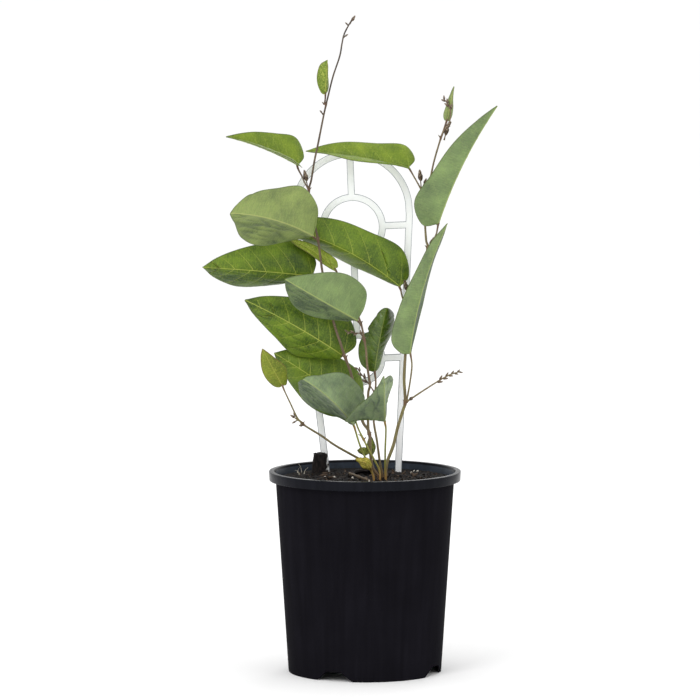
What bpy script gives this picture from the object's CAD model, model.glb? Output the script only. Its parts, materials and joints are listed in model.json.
import json
import math
import random
from functools import cache

import bmesh
import bpy
from mathutils import Matrix, Vector, noise

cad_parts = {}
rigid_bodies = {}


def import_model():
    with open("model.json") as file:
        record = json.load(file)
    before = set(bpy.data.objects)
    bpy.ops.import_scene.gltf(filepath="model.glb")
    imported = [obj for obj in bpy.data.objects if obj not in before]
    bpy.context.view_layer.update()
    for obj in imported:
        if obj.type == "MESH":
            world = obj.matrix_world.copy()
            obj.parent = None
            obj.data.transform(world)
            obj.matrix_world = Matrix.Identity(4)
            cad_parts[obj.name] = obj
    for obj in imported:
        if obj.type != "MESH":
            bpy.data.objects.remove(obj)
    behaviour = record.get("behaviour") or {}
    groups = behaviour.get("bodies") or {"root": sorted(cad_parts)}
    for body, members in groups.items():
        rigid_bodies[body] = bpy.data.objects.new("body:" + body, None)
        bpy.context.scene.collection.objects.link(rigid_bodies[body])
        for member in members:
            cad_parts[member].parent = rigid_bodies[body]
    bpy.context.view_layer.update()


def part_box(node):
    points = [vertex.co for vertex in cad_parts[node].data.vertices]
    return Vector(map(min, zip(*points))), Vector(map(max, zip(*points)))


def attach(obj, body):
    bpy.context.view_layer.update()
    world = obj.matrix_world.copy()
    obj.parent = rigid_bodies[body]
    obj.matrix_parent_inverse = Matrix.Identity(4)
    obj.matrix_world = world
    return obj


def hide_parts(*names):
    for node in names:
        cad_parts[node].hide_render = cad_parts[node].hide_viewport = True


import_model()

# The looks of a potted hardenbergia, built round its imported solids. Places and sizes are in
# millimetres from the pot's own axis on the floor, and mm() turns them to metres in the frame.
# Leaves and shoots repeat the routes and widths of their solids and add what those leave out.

pot_low, pot_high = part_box("pot")
POT_AXIS_X = (pot_low.x + pot_high.x) / 2

POT_HEIGHT = 184.0
RIM_RADIUS = 87.5
RIM_MOUTH_RADIUS = 82.6
RIM_SKIRT_DROP = 8.5
RIM_THICKNESS = 2.0
RIM_EASE = 0.6
SKIRT_TAPER = 0.4
FLARE_START = 170.0
FLARE_END = 176.0
FLARE_STEP = 0.3
WALL = 1.5
BODY_TOP_RADIUS = 81.0
FOOT_RADIUS = 69.8
FLOOR_HEIGHT = 10.5
NOTCH_HEIGHT = 8.5
NOTCH_ANGLES = (-24, 66, 156, 246)
NOTCH_FOOT_HALF_ANGLE = 14.5
NOTCH_TOP_HALF_ANGLE = 6.0
NOTCH_EASE = (-0.8, -0.4, 0, 0.4, 0.8)  # degrees round a notch's corner that are evened out
CORNER_STEPS = 3
FLOOR_EDGE = 52.0           # ring of the floor's mesh outside the drain holes
DRAIN_HOLE_RADIUS = 4.5
DRAIN_RING_RADIUS = 44.0
DRILL_DEPTH = 8.0
POT_STEP = 2                # degrees between the columns of the pot's mesh

SOIL_TOP = 173.5
SOIL_DISH = 3.5
SOIL_RADIUS = 79.0
SOIL_RINGS = 60
SOIL_SECTORS = 190
SOIL_CLEARANCE = 0.45       # from the wall
SOIL_LIFT = 0.3             # above the pot's floor
SOIL_LUMPS = ((28, 2.2), (10, 1.5), (4, 0.9))  # size and height of the lumps
WHITE_GRAINS = [(45.5, 57), (48.5, 53), (43, 47)]
# each rootlet's x, y, lean and height, and their first and last radius
ROOTLETS = [(-58, 40, -3, 9), (-56, 36, 4, 7), (-62, 42, 2, 6), (-60, 33, -4, 5)]
ROOTLET_RADII = (0.24, 0.14)
STICK = [(-14, 45, 176), (-5, 26, 175), (5, 7, 173.8)]
STICK_RADII = (1.5, 1.2)
BARK_CUTS = 15              # along each edge of a bark block's mesh
BARK_LAYER = (1.8, 9)       # size of a layer across the block and along it

TRELLIS_DEPTH = 60.0
TRELLIS_LEAN = 2.3
TRELLIS_FOOT_X = -2.0
TRELLIS_BAR = 6.4
TRELLIS_BAR_THICKNESS = 3.6
TRELLIS_EDGE = 0.9          # rounding along a bar's corners
TRELLIS_RING_HEIGHT = 227.0
TRELLIS_ARCH_HEIGHT = 242.0
TRELLIS_ARCH_RADIUS = 52.5
TRELLIS_RING_RADIUS = 27.3
TRELLIS_LOW_RING_HEIGHT = 105.0
TRELLIS_LOW_RING_RADIUS = 22.0
TRELLIS_FOOT_HALF_SPAN = 33.0
TRELLIS_LEG_BURIED = 105.0
LEG_STOP = 6.0              # how far below the arch's middle its straight legs end
ARCH_START = 6              # degrees above level where the arch begins
HAIR = 0.02

ROOT_DEPTH = 36.0
STEM_STEP = 1.6             # between the rings of a stem
STEM_SIDES = 12
SLIMMER = 0.8               # live stems are a little thinner than their solids
TWIG_RADIUS = 0.65
ROOT_COLLAR = 13.0          # how far a stem's reddish foot reaches above the mix
JOINT_REACH = 2.2           # half the length of the swelling round a joint
JOINT_SWELL = 0.32
SHOULDER = 0.35             # how much thicker a side stem starts
PULVINUS = 7.0              # length of the thicker end of a leaf stalk
PULVINUS_SWELL = 0.28
LEAF_NEAR = 4.0             # a stem that ends this near a leaf's base is its stalk
INTO_LEAF = 1.2             # how far a stalk runs into its leaf
STIPULE = (1.3, 1.3, 3.0)
BUD_SCALES = 15
GOLDEN_ANGLE = 2.39996
# height and half width along a scale, in shares of the bud's size
BRACT = ((0, 0.12), (0.14, 0.24), (0.34, 0.27), (0.52, 0.17), (0.64, 0.03))
BRACT_THICKNESS = 0.03

STATIONS = (0.1, 0.35, 0.6, 0.85)  # shares of the midrib where widths are given
BLUNT = 0.45                # half the width of a leaf's very tip and base
CAMBER = 0.07
RIPPLES = 2.5               # waves along a leaf's edge
BLADE = 0.42                # thickness of a living leaf
FAN = 0.42                  # share of a half leaf's rows that spread from its very base
VEINS = 6                   # side veins of a half leaf beyond its base
BASAL_VEINS = (0.42, 0.8)   # those that start at the base, as shares of the fan
VEIN_SEARCH = 0.16          # rows to each side where the nearest vein is looked for
FAR = 9.0                   # distance given where no vein is found
BED_WIDTH = 0.9             # side veins lie in beds of this reach and depth
BED_DEPTH = 0.2
RIB_WIDTH = 1.0
RIB_HEIGHT = 0.5
QUILT_RISE = 0.28           # how much tissue swells, and how far from a vein
QUILT_REACH = 3.5
SWELL_RISE = 0.5            # of the slow waves over a whole blade
CREASE_WIDTH = 0.14
ROWS_BETWEEN = 7
COLUMNS = (0, 0.015, 0.035, *[0.06 + 0.04 * i for i in range(23)], 0.965, 1)
UV_UNIT = 100.0             # millimetres to one unit of a leaf's UV map
WIDEST_FOLD = 5.0           # between the creases of a wrinkled leaf
CREASE_SHADE = 0.2          # how much a crease darkens a leaf
MID_SHADE = 0.9             # of a leaf's clouds, freckles and streaks together
NET_MESH = 2.6              # width of the meshes of the fine net of veins
STREAK_LENGTH = 9.0
STREAK_WIDTH = 1.0
STREAK_SLANT = -38

CAMERA = (0.0004, -4.5, 0.725)
CAMERA_PITCH = 84.534
FOCAL_LENGTH = 255.65
SURROUND = 1.05
LIGHT_AIM = (0, 0, 0.3)
FLOOR_HALF_SIZE = 40
LIGHTS = (
    ("key_light", (-1.6, -2.4, 2.3), 1.5, 30),
    ("fill_light", (2.2, -1.6, 1.2), 1.4, 5),
    ("back_light", (0.8, 2.2, 1.8), 1.2, 10),
)
NODE_FAMILIES = {"ShaderNodeTree": ("ShaderNode",),
                 "GeometryNodeTree": ("GeometryNode", "FunctionNode", "ShaderNode")}
SMOOTH = {"interpolation_type": "SMOOTHSTEP"}


def mm(x, y, z):
    """A place in millimetres from the pot's axis, in metres in the frame."""
    return Vector((POT_AXIS_X + x / 1000, y / 1000, z / 1000))


def linear(code):
    """A colour written as sRGB hex, as linear red, green, blue and alpha."""
    parts = [int(code[i:i + 2], 16) / 255 for i in (0, 2, 4)]
    return (*[c / 12.92 if c <= 0.04045 else ((c + 0.055) / 1.055) ** 2.4 for c in parts], 1.0)


def add(tree, kind, inputs=(), out=0, **settings):
    """Add a node with its settings, give inputs their values or links, and return an output, or all."""
    family = next(start for start in NODE_FAMILIES[tree.bl_idname] if hasattr(bpy.types, start + kind))
    node = tree.nodes.new(family + kind)
    for name, value in settings.items():
        if name == "stops":
            band = node.color_ramp.elements
            while len(band) < len(value):
                band.new(0.5)
            for stop, (place, code) in zip(band, value):
                stop.position, stop.color = place, linear(code)
        else:
            setattr(node, name, value)
    for key, value in dict(inputs).items():
        if isinstance(value, bpy.types.NodeSocket):
            tree.links.new(value, node.inputs[key])
        else:
            node.inputs[key].default_value = value
    return node.outputs if out is None else node.outputs[out]


def new_surface(name):
    """A material, its node tree and its Object coordinates."""
    mat = bpy.data.materials.new(name)
    mat.use_nodes = True
    return mat, mat.node_tree, add(mat.node_tree, "TexCoord", out="Object")


def dress(tree, colour, roughness, height, relief, constants):
    """Join colour, roughness and relief to the shader. Relief is in millimetres."""
    shader = tree.nodes["Principled BSDF"]
    bump = add(tree, "Bump", {"Distance": relief / 1000, "Height": height})
    for key, socket in (("Base Color", colour), ("Roughness", roughness), ("Normal", bump)):
        tree.links.new(socket, shader.inputs[key])
    for key, value in constants.items():
        shader.inputs[key].default_value = value


def leaf_face(name, colours, gloss, side_veins, flecks, spread, sheen=0.0, coat=0.0):
    """One face of a living leaf: clouded green, a net of fine veins and the pale main ones.

    The eye sees waxy, slightly quilted tissue with fine streaks that run out from the midrib,
    yellow flecks beside the veins, and a thin darker margin. The colours are those of light
    tissue, deep tissue, flecks, veins and margin.
    """
    light, deep, fleck, vein, margin = (linear(code) for code in colours.split())
    mat, tree, place = new_surface(name)
    marks = add(tree, "Attribute", out="Vector", attribute_name="marks")
    to_midrib, to_vein, to_margin = add(tree, "SeparateXYZ", {0: marks}, None)
    shares = add(tree, "Attribute", out="Vector", attribute_name="shares")
    along, across, tone = add(tree, "SeparateXYZ", {0: shares}, None)
    flat = add(tree, "UVMap", uv_map="blade")
    # clouds about 18 mm across and freckles of 1.4 mm
    clouds = add(tree, "TexNoise", {"Vector": place, "Scale": 55, "Detail": 3})
    freckles = add(tree, "TexNoise", {"Vector": place, "Scale": 700, "Detail": 2})
    outward = add(tree, "VectorMath", {0: flat}, operation="ABSOLUTE")
    outward = add(tree, "Mapping", {
        "Vector": outward, "Rotation": (0, 0, math.radians(STREAK_SLANT)),
        "Scale": (UV_UNIT / STREAK_LENGTH, UV_UNIT / STREAK_WIDTH, 1)})
    streaks = add(tree, "TexNoise", {"Vector": outward, "Scale": 1, "Detail": 2})
    shade = add(tree, "Math", {0: freckles, 1: 0.3, 2: clouds}, operation="MULTIPLY_ADD")
    shade = add(tree, "Math", {0: streaks, 1: 0.5, 2: shade}, operation="MULTIPLY_ADD")
    shade = add(tree, "Math", {0: shade, 1: tone}, operation="ADD")
    shade = add(tree, "MapRange", {
        "Value": shade, "From Min": MID_SHADE - spread / 2, "From Max": MID_SHADE + spread / 2})
    colour = add(tree, "Mix", {0: shade, 6: deep, 7: light}, 2, data_type="RGBA")
    net = add(tree, "TexVoronoi", {"Vector": flat, "Scale": UV_UNIT / NET_MESH, "Randomness": 0.9},
              feature="DISTANCE_TO_EDGE")
    net = add(tree, "MapRange", {
        "Value": net, "From Min": 0.02, "From Max": 0.14, "To Min": 1, "To Max": 0}, **SMOOTH)
    # yellow flecks, most of them within 7 mm of a main vein, and along the fine net
    near = add(tree, "Math", {0: to_vein, 1: to_midrib}, operation="MINIMUM")
    near = add(tree, "MapRange", {"Value": near, "From Max": 7.0, "To Min": 0.9, "To Max": 0.2})
    speckle = add(tree, "MapRange", {"Value": freckles, "From Min": 0.5, "From Max": 0.68}, **SMOOTH)
    speckle = add(tree, "Math", {0: net, 1: 0.35, 2: speckle}, operation="MULTIPLY_ADD")
    for factor in (speckle, flecks):
        near = add(tree, "Math", {0: near, 1: factor}, operation="MULTIPLY")
    # side veins are 0.7 mm wide at the midrib, and they taper and fade
    taper = add(tree, "MapRange", {"Value": across, "To Min": 1, "To Max": 0.35})
    side = add(tree, "Math", {0: to_vein, 1: taper}, operation="DIVIDE")
    side = add(tree, "MapRange", {
        "Value": side, "From Min": 0.06, "From Max": 0.55, "To Min": 1, "To Max": 0}, **SMOOTH)
    fade = add(tree, "MapRange", {
        "Value": clouds, "From Min": 0.3, "From Max": 0.5, "To Min": 0.75, "To Max": 1})
    for factor in (taper, fade, side_veins):
        side = add(tree, "Math", {0: side, 1: factor}, operation="MULTIPLY")
    # the midrib is 1.2 mm wide at the base and tapers too
    taper = add(tree, "MapRange", {"Value": along, "To Min": 1, "To Max": 0.45})
    middle = add(tree, "Math", {0: to_midrib, 1: taper}, operation="DIVIDE")
    middle = add(tree, "MapRange", {
        "Value": middle, "From Min": 0.25, "From Max": 0.8, "To Min": 0.9, "To Max": 0}, **SMOOTH)
    veins = add(tree, "Math", {0: side, 1: middle}, operation="MAXIMUM")
    edge = add(tree, "MapRange", {
        "Value": to_margin, "From Min": 0.2, "From Max": 0.9, "To Min": 0.75, "To Max": 0}, **SMOOTH)
    for mask, over in ((near, fleck), (veins, vein), (edge, margin)):
        colour = add(tree, "Mix", {0: mask, 6: colour, 7: over}, 2, data_type="RGBA")
    rough = add(tree, "MapRange", {"Value": clouds, "To Min": gloss - 0.08, "To Max": gloss + 0.1})
    height = add(tree, "Math", {0: net, 1: -0.5, 2: streaks}, operation="MULTIPLY_ADD")
    dress(tree, colour, rough, height, 0.14, {
        "IOR": 1.45, "Specular IOR Level": 0.35, "Sheen Weight": sheen, "Sheen Roughness": 0.5,
        "Coat Weight": coat, "Coat Roughness": 0.18, "Subsurface Weight": 0.1,
        "Subsurface Radius": (0.4, 1.0, 0.2), "Subsurface Scale": 0.0006})
    return mat


def bark_skin(name, young, middle, old, joint):
    """Stem bark: olive where young, brown to dark where ripe, streaked along, and redder at joints."""
    mat, tree, place = new_surface(name)
    tone = add(tree, "Attribute", out="Fac", attribute_name="tone")
    knot = add(tree, "Attribute", out="Fac", attribute_name="joint")
    # streaks 0.7 mm wide and about 8 mm long, drawn coarser than real bark grain so that they show
    lengthways = add(tree, "Mapping", {"Vector": place, "Scale": (1400, 1400, 120)})
    streaks = add(tree, "TexNoise", {"Vector": lengthways, "Scale": 1, "Detail": 3})
    patches = add(tree, "TexNoise", {"Vector": place, "Scale": 90, "Detail": 2})
    ripe = add(tree, "Math", {0: patches, 1: 0.5, 2: tone}, operation="MULTIPLY_ADD")
    ripe = add(tree, "Math", {0: ripe, 1: 0.25}, operation="SUBTRACT")
    colour = add(tree, "ValToRGB", {"Fac": ripe}, stops=[(0.0, young), (0.5, middle), (1.0, old)])
    dark = add(tree, "MapRange", {
        "Value": streaks, "From Min": 0.35, "From Max": 0.7, "To Min": 0.62, "To Max": 1.15})
    colour = add(tree, "Mix", {0: 1.0, 6: colour, 7: dark}, 2, data_type="RGBA", blend_type="MULTIPLY")
    reddish = add(tree, "Math", {0: knot, 1: 0.75}, operation="MULTIPLY")
    # lenticels, pale dots 0.9 mm across, drawn larger than real ones so that they show
    dots = add(tree, "TexVoronoi", {"Vector": place, "Scale": 330})
    dots = add(tree, "MapRange", {
        "Value": dots, "From Min": 0.1, "From Max": 0.2, "To Min": 0.35, "To Max": 0})
    for mask, over in ((reddish, joint), (dots, "b8a888")):
        colour = add(tree, "Mix", {0: mask, 6: colour, 7: linear(over)}, 2, data_type="RGBA")
    rough = add(tree, "MapRange", {"Value": streaks, "To Min": 0.5, "To Max": 0.72})
    dress(tree, colour, rough, streaks, 0.15, {"IOR": 1.45, "Specular IOR Level": 0.35})
    return mat


def bud_scales():
    """Dry bracts of a flower bud: brown-grey, darker towards the tip, with a pale papery edge."""
    mat, tree, place = new_surface("bud_scale")
    tip = add(tree, "Attribute", out="Fac", attribute_name="tip")
    specks = add(tree, "TexNoise", {"Vector": place, "Scale": 900, "Detail": 2})
    mixed = add(tree, "Math", {0: specks, 1: 0.4, 2: tip}, operation="MULTIPLY_ADD")
    colour = add(tree, "ValToRGB", {"Fac": mixed},
                 stops=[(0.15, "827c5c"), (0.45, "6e5b49"), (0.85, "463831"), (1.0, "9c8b76")])
    rough = add(tree, "MapRange", {"Value": specks, "To Min": 0.6, "To Max": 0.85})
    dress(tree, colour, rough, specks, 0.1, {"Specular IOR Level": 0.3})
    return mat


def moulded_black(name, dark, pale, gloss, specular):
    """Black polypropylene, injection moulded: near black, with flow streaks down the wall and dust."""
    mat, tree, place = new_surface(name)
    # flow streaks 6 mm wide and as long as the wall
    lengthways = add(tree, "Mapping", {"Vector": place, "Scale": (160, 160, 6)})
    streaks = add(tree, "TexNoise", {"Vector": lengthways, "Scale": 1, "Detail": 2})
    smudges = add(tree, "TexNoise", {"Vector": place, "Scale": 22, "Detail": 5})
    grain = add(tree, "TexNoise", {"Vector": place, "Scale": 1500, "Detail": 1})
    mixed = add(tree, "Math", {0: streaks, 1: smudges}, operation="MULTIPLY")
    mixed = add(tree, "MapRange", {"Value": mixed, "From Min": 0.12, "From Max": 0.42})
    colour = add(tree, "Mix", {0: mixed, 6: linear(dark), 7: linear(pale)}, 2, data_type="RGBA")
    rough = add(tree, "MapRange", {"Value": smudges, "From Min": 0.3, "From Max": 0.7,
                                   "To Min": gloss - 0.06, "To Max": gloss + 0.1})
    height = add(tree, "Math", {0: streaks, 1: 1.5, 2: grain}, operation="MULTIPLY_ADD")
    dress(tree, colour, rough, height, 0.05, {"IOR": 1.49, "Specular IOR Level": specular})
    return mat


def moulded_white():
    """White polypropylene, softly glossy, with splashes of mix at the foot of the left leg."""
    mat, tree, place = new_surface("white_polypropylene")
    across, _, height = add(tree, "SeparateXYZ", {0: place}, None)
    low = add(tree, "MapRange", {
        "Value": height, "From Min": 0.176, "From Max": 0.198, "To Min": 1, "To Max": 0})
    left = add(tree, "Math", {0: across, 1: POT_AXIS_X}, operation="LESS_THAN")
    low = add(tree, "Math", {0: low, 1: left}, operation="MULTIPLY")
    splash = add(tree, "TexNoise", {"Vector": place, "Scale": 260, "Detail": 4, "Roughness": 0.6})
    dirt = add(tree, "Math", {0: low, 1: 0.34, 2: splash}, operation="MULTIPLY_ADD")
    dirt = add(tree, "MapRange", {"Value": dirt, "From Min": 0.79, "From Max": 0.86})
    cloud = add(tree, "TexNoise", {"Vector": place, "Scale": 60, "Detail": 3})
    colour = add(tree, "Mix", {0: cloud, 6: linear("fafdff"), 7: linear("ffffff")}, 2, data_type="RGBA")
    # the corners and sides of the bars are greyer than their flat faces, most of all low down
    normal = add(tree, "NewGeometry", out="True Normal")
    facing = add(tree, "SeparateXYZ", {0: normal}, "Y")
    facing = add(tree, "Math", {0: facing}, operation="ABSOLUTE")
    corner = add(tree, "MapRange", {
        "Value": facing, "From Min": 0.85, "From Max": 0.96, "To Min": 0.95, "To Max": 0})
    high = add(tree, "MapRange", {"Value": height, "From Min": 0.26, "From Max": 0.36})
    grey = add(tree, "Mix", {0: high, 6: linear("5c656b"), 7: linear("8f979c")}, 2, data_type="RGBA")
    for mask, over in ((corner, grey), (dirt, linear("3a2f29"))):
        colour = add(tree, "Mix", {0: mask, 6: colour, 7: over}, 2, data_type="RGBA")
    rough = add(tree, "MapRange", {"Value": dirt, "To Min": 0.34, "To Max": 0.9})
    dress(tree, colour, rough, splash, 0.04, {"IOR": 1.49, "Specular IOR Level": 0.5})
    return mat


def crumbly(name, stops, scale, relief, rough_low=0.8):
    """Damp bark and peat: matt, dark and rough, each crumb a little different from the next."""
    mat, tree, place = new_surface(name)
    tone = add(tree, "Attribute", out="Fac", attribute_name="tone")
    coarse = add(tree, "TexNoise", {"Vector": place, "Scale": scale, "Detail": 6, "Roughness": 0.65})
    mixed = add(tree, "Math", {0: coarse, 1: 0.6, 2: tone}, operation="MULTIPLY_ADD")
    colour = add(tree, "ValToRGB", {"Fac": mixed}, stops=stops)
    rough = add(tree, "MapRange", {"Value": coarse, "To Min": rough_low, "To Max": 1.0})
    dress(tree, colour, rough, coarse, relief, {"Specular IOR Level": 0.25})
    return mat


def new_tree(name, *sockets):
    """A geometry tree with a mesh in, a mesh out and named inputs, and what it is given."""
    tree = bpy.data.node_groups.new(name, "GeometryNodeTree")
    tree.interface.new_socket("Geometry", in_out="OUTPUT", socket_type="NodeSocketGeometry")
    for label, kind in (("Geometry", "Geometry"), *sockets):
        tree.interface.new_socket(label, in_out="INPUT", socket_type="NodeSocket" + kind)
    return tree, tree.nodes.new("NodeGroupInput").outputs


def close_tree(tree, shape, skin):
    """End a geometry tree with real meshes in their material."""
    real = add(tree, "RealizeInstances", {"Geometry": shape})
    dressed = add(tree, "SetMaterial", {"Geometry": real, "Material": skin})
    tree.links.new(dressed, tree.nodes.new("NodeGroupOutput").inputs[0])
    return tree


def new_object(name, data):
    """An object in the scene."""
    ob = bpy.data.objects.new(name, data)
    bpy.context.scene.collection.objects.link(ob)
    return ob


def evaluated(holder):
    """The evaluated mesh of a passing object, which is then removed."""
    bpy.context.view_layer.update()
    found = bpy.data.meshes.new_from_object(
        holder.evaluated_get(bpy.context.evaluated_depsgraph_get()))
    bpy.data.objects.remove(holder, do_unlink=True)
    return found


def grow(tree, mesh, **values):
    """What a geometry tree makes of a mesh, as a plain mesh."""
    holder = new_object("growing", mesh)
    change = holder.modifiers.new("grow", "NODES")
    change.node_group = tree
    for item in tree.interface.items_tree:
        if item.in_out == "INPUT" and item.name in values:
            change[item.identifier] = values[item.name]
    return evaluated(holder)


def thickened(mesh, thickness, offset, second_face=0):
    """A sheet as a closed shell, with its own material on its second face if asked."""
    holder = new_object("sheet", mesh)
    skin = holder.modifiers.new("skin", "SOLIDIFY")
    skin.thickness, skin.offset, skin.material_offset = thickness, offset, second_face
    return evaluated(holder)


def piece(name, mesh, slot, *nodes, smooth=60):
    """A finished piece with its place in its mesh, standing for the solids that it replaces."""
    mesh.name = name
    ob = new_object(name, mesh)
    mesh.shade_smooth()
    mesh.set_sharp_from_angle(angle=math.radians(smooth))
    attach(ob, "root")
    if nodes:
        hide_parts(*nodes)


def mesh_of(bm, *materials):
    """A built shape as a mesh with its materials."""
    mesh = bpy.data.meshes.new("work")
    bm.to_mesh(mesh)
    bm.free()
    for material in materials:
        mesh.materials.append(material)
    return mesh


def curve_point(before, a, b, after, t):
    """A place between a and b on a smooth curve through four points."""
    return 0.5 * (2 * a + (b - before) * t + (2 * before - 5 * a + 4 * b - after) * t**2
                  + (3 * a - before - 3 * b + after) * t**3)


def smooth_path(points, step):
    """Points about step apart on a curve through all the given ones."""
    knots = [Vector(p) for p in points]
    ends = [2 * knots[0] - knots[1], *knots, 2 * knots[-1] - knots[-2]]
    path = []
    for before, a, b, after in zip(ends, ends[1:], ends[2:], ends[3:]):
        count = max(1, round((b - a).length / step))
        path += [curve_point(before, a, b, after, i / count) for i in range(count)]
    return [*path, knots[-1]]


# Leaves

def margin_point(share, widths, lobe):
    """Along the midrib, as a share of it, and out in millimetres on the edge of a half leaf."""
    points = [(0, BLUNT), (-lobe, widths[0] / 2), *zip(STATIONS, widths), (1, BLUNT)]
    points = [Vector(p) for p in points]
    place = share * (len(points) - 1)
    i = min(int(place), len(points) - 2)
    a, b = points[i], points[i + 1]
    before = points[i - 1] if i else 2 * a - b
    after = points[i + 2] if i + 2 < len(points) else 2 * b - a
    along, out = curve_point(before, a, b, after, place - i)
    return along, max(out, BLUNT)


def vein_rows(luck):
    """The rows of a half leaf that its side veins follow, from the base to the tip."""
    basal = [FAN * share for share in BASAL_VEINS]
    rest = [FAN + (1 - FAN) * (i + 0.9 + luck.uniform(-0.16, 0.16)) / (VEINS + 1.1) for i in range(VEINS)]
    return basal + rest


def blade(name, base, tip, bow, halves, wave, faces, slot, wrinkles=(0, 0), tones=(0, 0), nibble=None,
          blunt=(0, 0)):
    """A leaf with the outline and bend of its solid, its veins pressed in and its blade quilted.

    Each half is its angle, its widths at the stations and how far its lobe reaches behind the
    base. A nibble is its half, its row, its depth and its width along the rows.
    """
    luck = random.Random(name)
    base, tip, bow = Vector(base), Vector(tip), Vector(bow)
    chord = tip - base
    length = chord.length
    along_axis = chord.normalized()
    flat = Vector((0, 1, 0)).cross(along_axis).normalized()
    back = along_axis.cross(flat)
    veins = (vein_rows(luck), vein_rows(luck))
    keys = sorted({0.0, 1.0, *veins[0], *veins[1]})
    rows = [a + (b - a) * i / ROWS_BETWEEN for a, b in zip(keys, keys[1:]) for i in range(ROWS_BETWEEN)]
    rows.append(1.0)
    seed = luck.uniform(0, 50)
    fold = min(WIDEST_FOLD, length / 9)

    def spot(half, row, across):
        """Along the midrib as a share, out in millimetres, and the half leaf's width there."""
        edge_along, edge_out = margin_point(row, halves[half][1], halves[half][2])
        if nibble and nibble[0] == half:
            bite = nibble[2] * math.exp(-((row - nibble[1]) / nibble[3]) ** 2)
            edge_out = max(BLUNT, edge_out - bite)
        if edge_along > STATIONS[-1]:
            left = (1 - edge_along) / (1 - STATIONS[-1])
            rounding = math.sqrt(max(0, 1 - (1 - left) ** 2)) - left
            edge_out += blunt[half] * halves[half][1][-1] * rounding
        middle = max(0.0, (row - FAN) / (1 - FAN))
        return middle + (edge_along - middle) * across**1.2, edge_out * across, edge_out

    bm = bmesh.new()
    marks = bm.verts.layers.float_vector.new("marks")
    shares = bm.verts.layers.float_vector.new("shares")
    reliefs = bm.verts.layers.float.new("relief")
    uv = bm.loops.layers.uv.new("blade")
    grid, on_map = [], {}
    for row in rows:
        line = []
        for column in range(-len(COLUMNS) + 1, len(COLUMNS)):
            if column == 0 and grid and row <= FAN:
                line.append(grid[0][len(COLUMNS) - 1])
                continue
            half = column > 0
            across = COLUMNS[abs(column)]
            turn = math.radians(halves[half][0])
            side = math.cos(turn) * flat + math.sin(turn) * back
            upper = side.cross(along_axis) if half else along_axis.cross(side)
            along, out, edge_out = spot(half, row, across)
            signed_out = out if half else -out
            rise = bow * 4 * along * (1 - along) if along > 0 else bow * 4 * along
            lift = CAMBER * 4 * across * (1 - across) * edge_out
            ripple = wave * across**2 * math.sin(RIPPLES * 2 * math.pi * row + base.x)
            vert = bm.verts.new(base + chord * along + rise + side * out + upper * (lift + ripple))
            near = [spot(half, key, across) for key in veins[half] if abs(key - row) < VEIN_SEARCH]
            to_vein = min((math.hypot((along - a) * length, out - b) for a, b, _ in near), default=FAR)
            bed = math.exp(-((to_vein / BED_WIDTH) ** 2)) * BED_DEPTH * (1 - 0.75 * across)
            rib = math.exp(-((out / RIB_WIDTH) ** 2)) * (RIB_HEIGHT - 0.3 * max(along, 0))
            quilt = QUILT_RISE * (1 - math.exp(-((to_vein / QUILT_REACH) ** 2))) * 4 * across * (1 - across)
            swell = SWELL_RISE * noise.noise(Vector((along * length / 26, signed_out / 20, seed)))
            crease = noise.noise(
                Vector((along * length / (4 * fold) + out / (5 * fold), out / fold, seed + half)))
            crease = math.exp(-((crease / CREASE_WIDTH) ** 2)) * min(1, 5 * across * (1.05 - across))
            crease *= -wrinkles[half]
            vert[reliefs] = quilt + swell * min(1, 3 * across) + 0.5 * crease - bed - rib
            vert[marks] = (out, to_vein, edge_out * (1 - across))
            vert[shares] = (max(along, 0), across, tones[half] + CREASE_SHADE * crease)
            on_map[vert] = (signed_out / UV_UNIT, along * length / UV_UNIT)
            line.append(vert)
        grid.append(line)
    for low, high in zip(grid, grid[1:]):
        for a, b, c, d in zip(low, low[1:], high[1:], high):
            face = bm.faces.new(dict.fromkeys((a, b, c, d)))
            for loop in face.loops:
                loop[uv].uv = on_map[loop.vert]
    bm.normal_update()
    for vert in bm.verts:
        vert.co = mm(*(vert.co + vert.normal * vert[reliefs]))
    mesh = thickened(mesh_of(bm, *faces), BLADE / 1000, 0, second_face=1)
    piece(name + "_blade", mesh, slot, name, smooth=180)


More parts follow.
